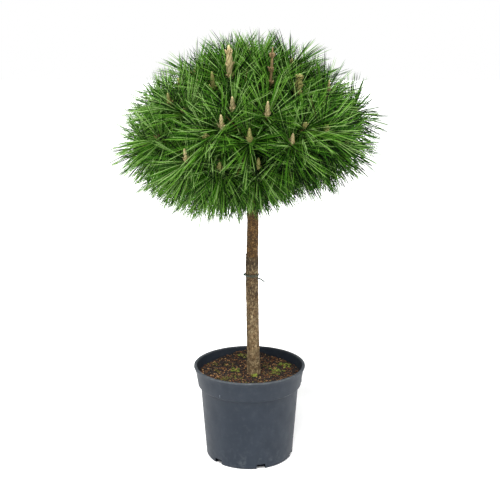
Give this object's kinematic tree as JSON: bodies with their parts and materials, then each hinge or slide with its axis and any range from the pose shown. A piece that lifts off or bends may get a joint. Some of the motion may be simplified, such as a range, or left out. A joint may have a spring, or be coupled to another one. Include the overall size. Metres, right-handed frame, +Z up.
{
  "type": "standard dwarf pine in nursery pot",
  "caption": "Dwarf pine on a clear upright stem: a dense rounded head of long needles with upright buds, growing in a round grey nursery pot filled with soil.",
  "frame": {"origin": "centre of the pot's flat underside", "axes": "+Z up along the pot's axis; -Y is the side seen from the front"},
  "size_m": [0.6343, 0.6289, 0.9869],
  "materials": {
    "pot": "matt blue-grey recycled plastic, faintly streaked and scuffed",
    "soil": "damp crumbly potting soil with bark chips and moss",
    "bark": "grey-brown scaly bark, smoother and warmer above the graft",
    "bough_bark": "orange-brown young bark with scale marks",
    "tie": "green plastic-coated tie",
    "needles": "fresh green needles, slightly glossy, with buff buds"
  },
  "bodies": {
    "root": {"pot": "pot", "soil": "soil", "stem": "bark", "stem_tie": "tie", "bough_lower_1": "bough_bark", "bough_lower_2": "bough_bark", "bough_lower_3": "bough_bark", "bough_lower_4": "bough_bark", "bough_lower_5": "bough_bark", "bough_lower_6": "bough_bark", "bough_lower_7": "bough_bark", "bough_top": "bough_bark", "bough_upper_1": "bough_bark", "bough_upper_2": "bough_bark", "bough_upper_3": "bough_bark", "bough_upper_4": "bough_bark", "bough_upper_5": "bough_bark", "bough_upper_6": "bough_bark", "foliage_lower_1": "needles", "foliage_lower_2": "needles", "foliage_lower_3": "needles", "foliage_lower_4": "needles", "foliage_lower_5": "needles", "foliage_lower_6": "needles", "foliage_lower_7": "needles", "foliage_top": "needles", "foliage_upper_1": "needles", "foliage_upper_2": "needles", "foliage_upper_3": "needles", "foliage_upper_4": "needles", "foliage_upper_5": "needles", "foliage_upper_6": "needles"}
  },
  "joints": []
}
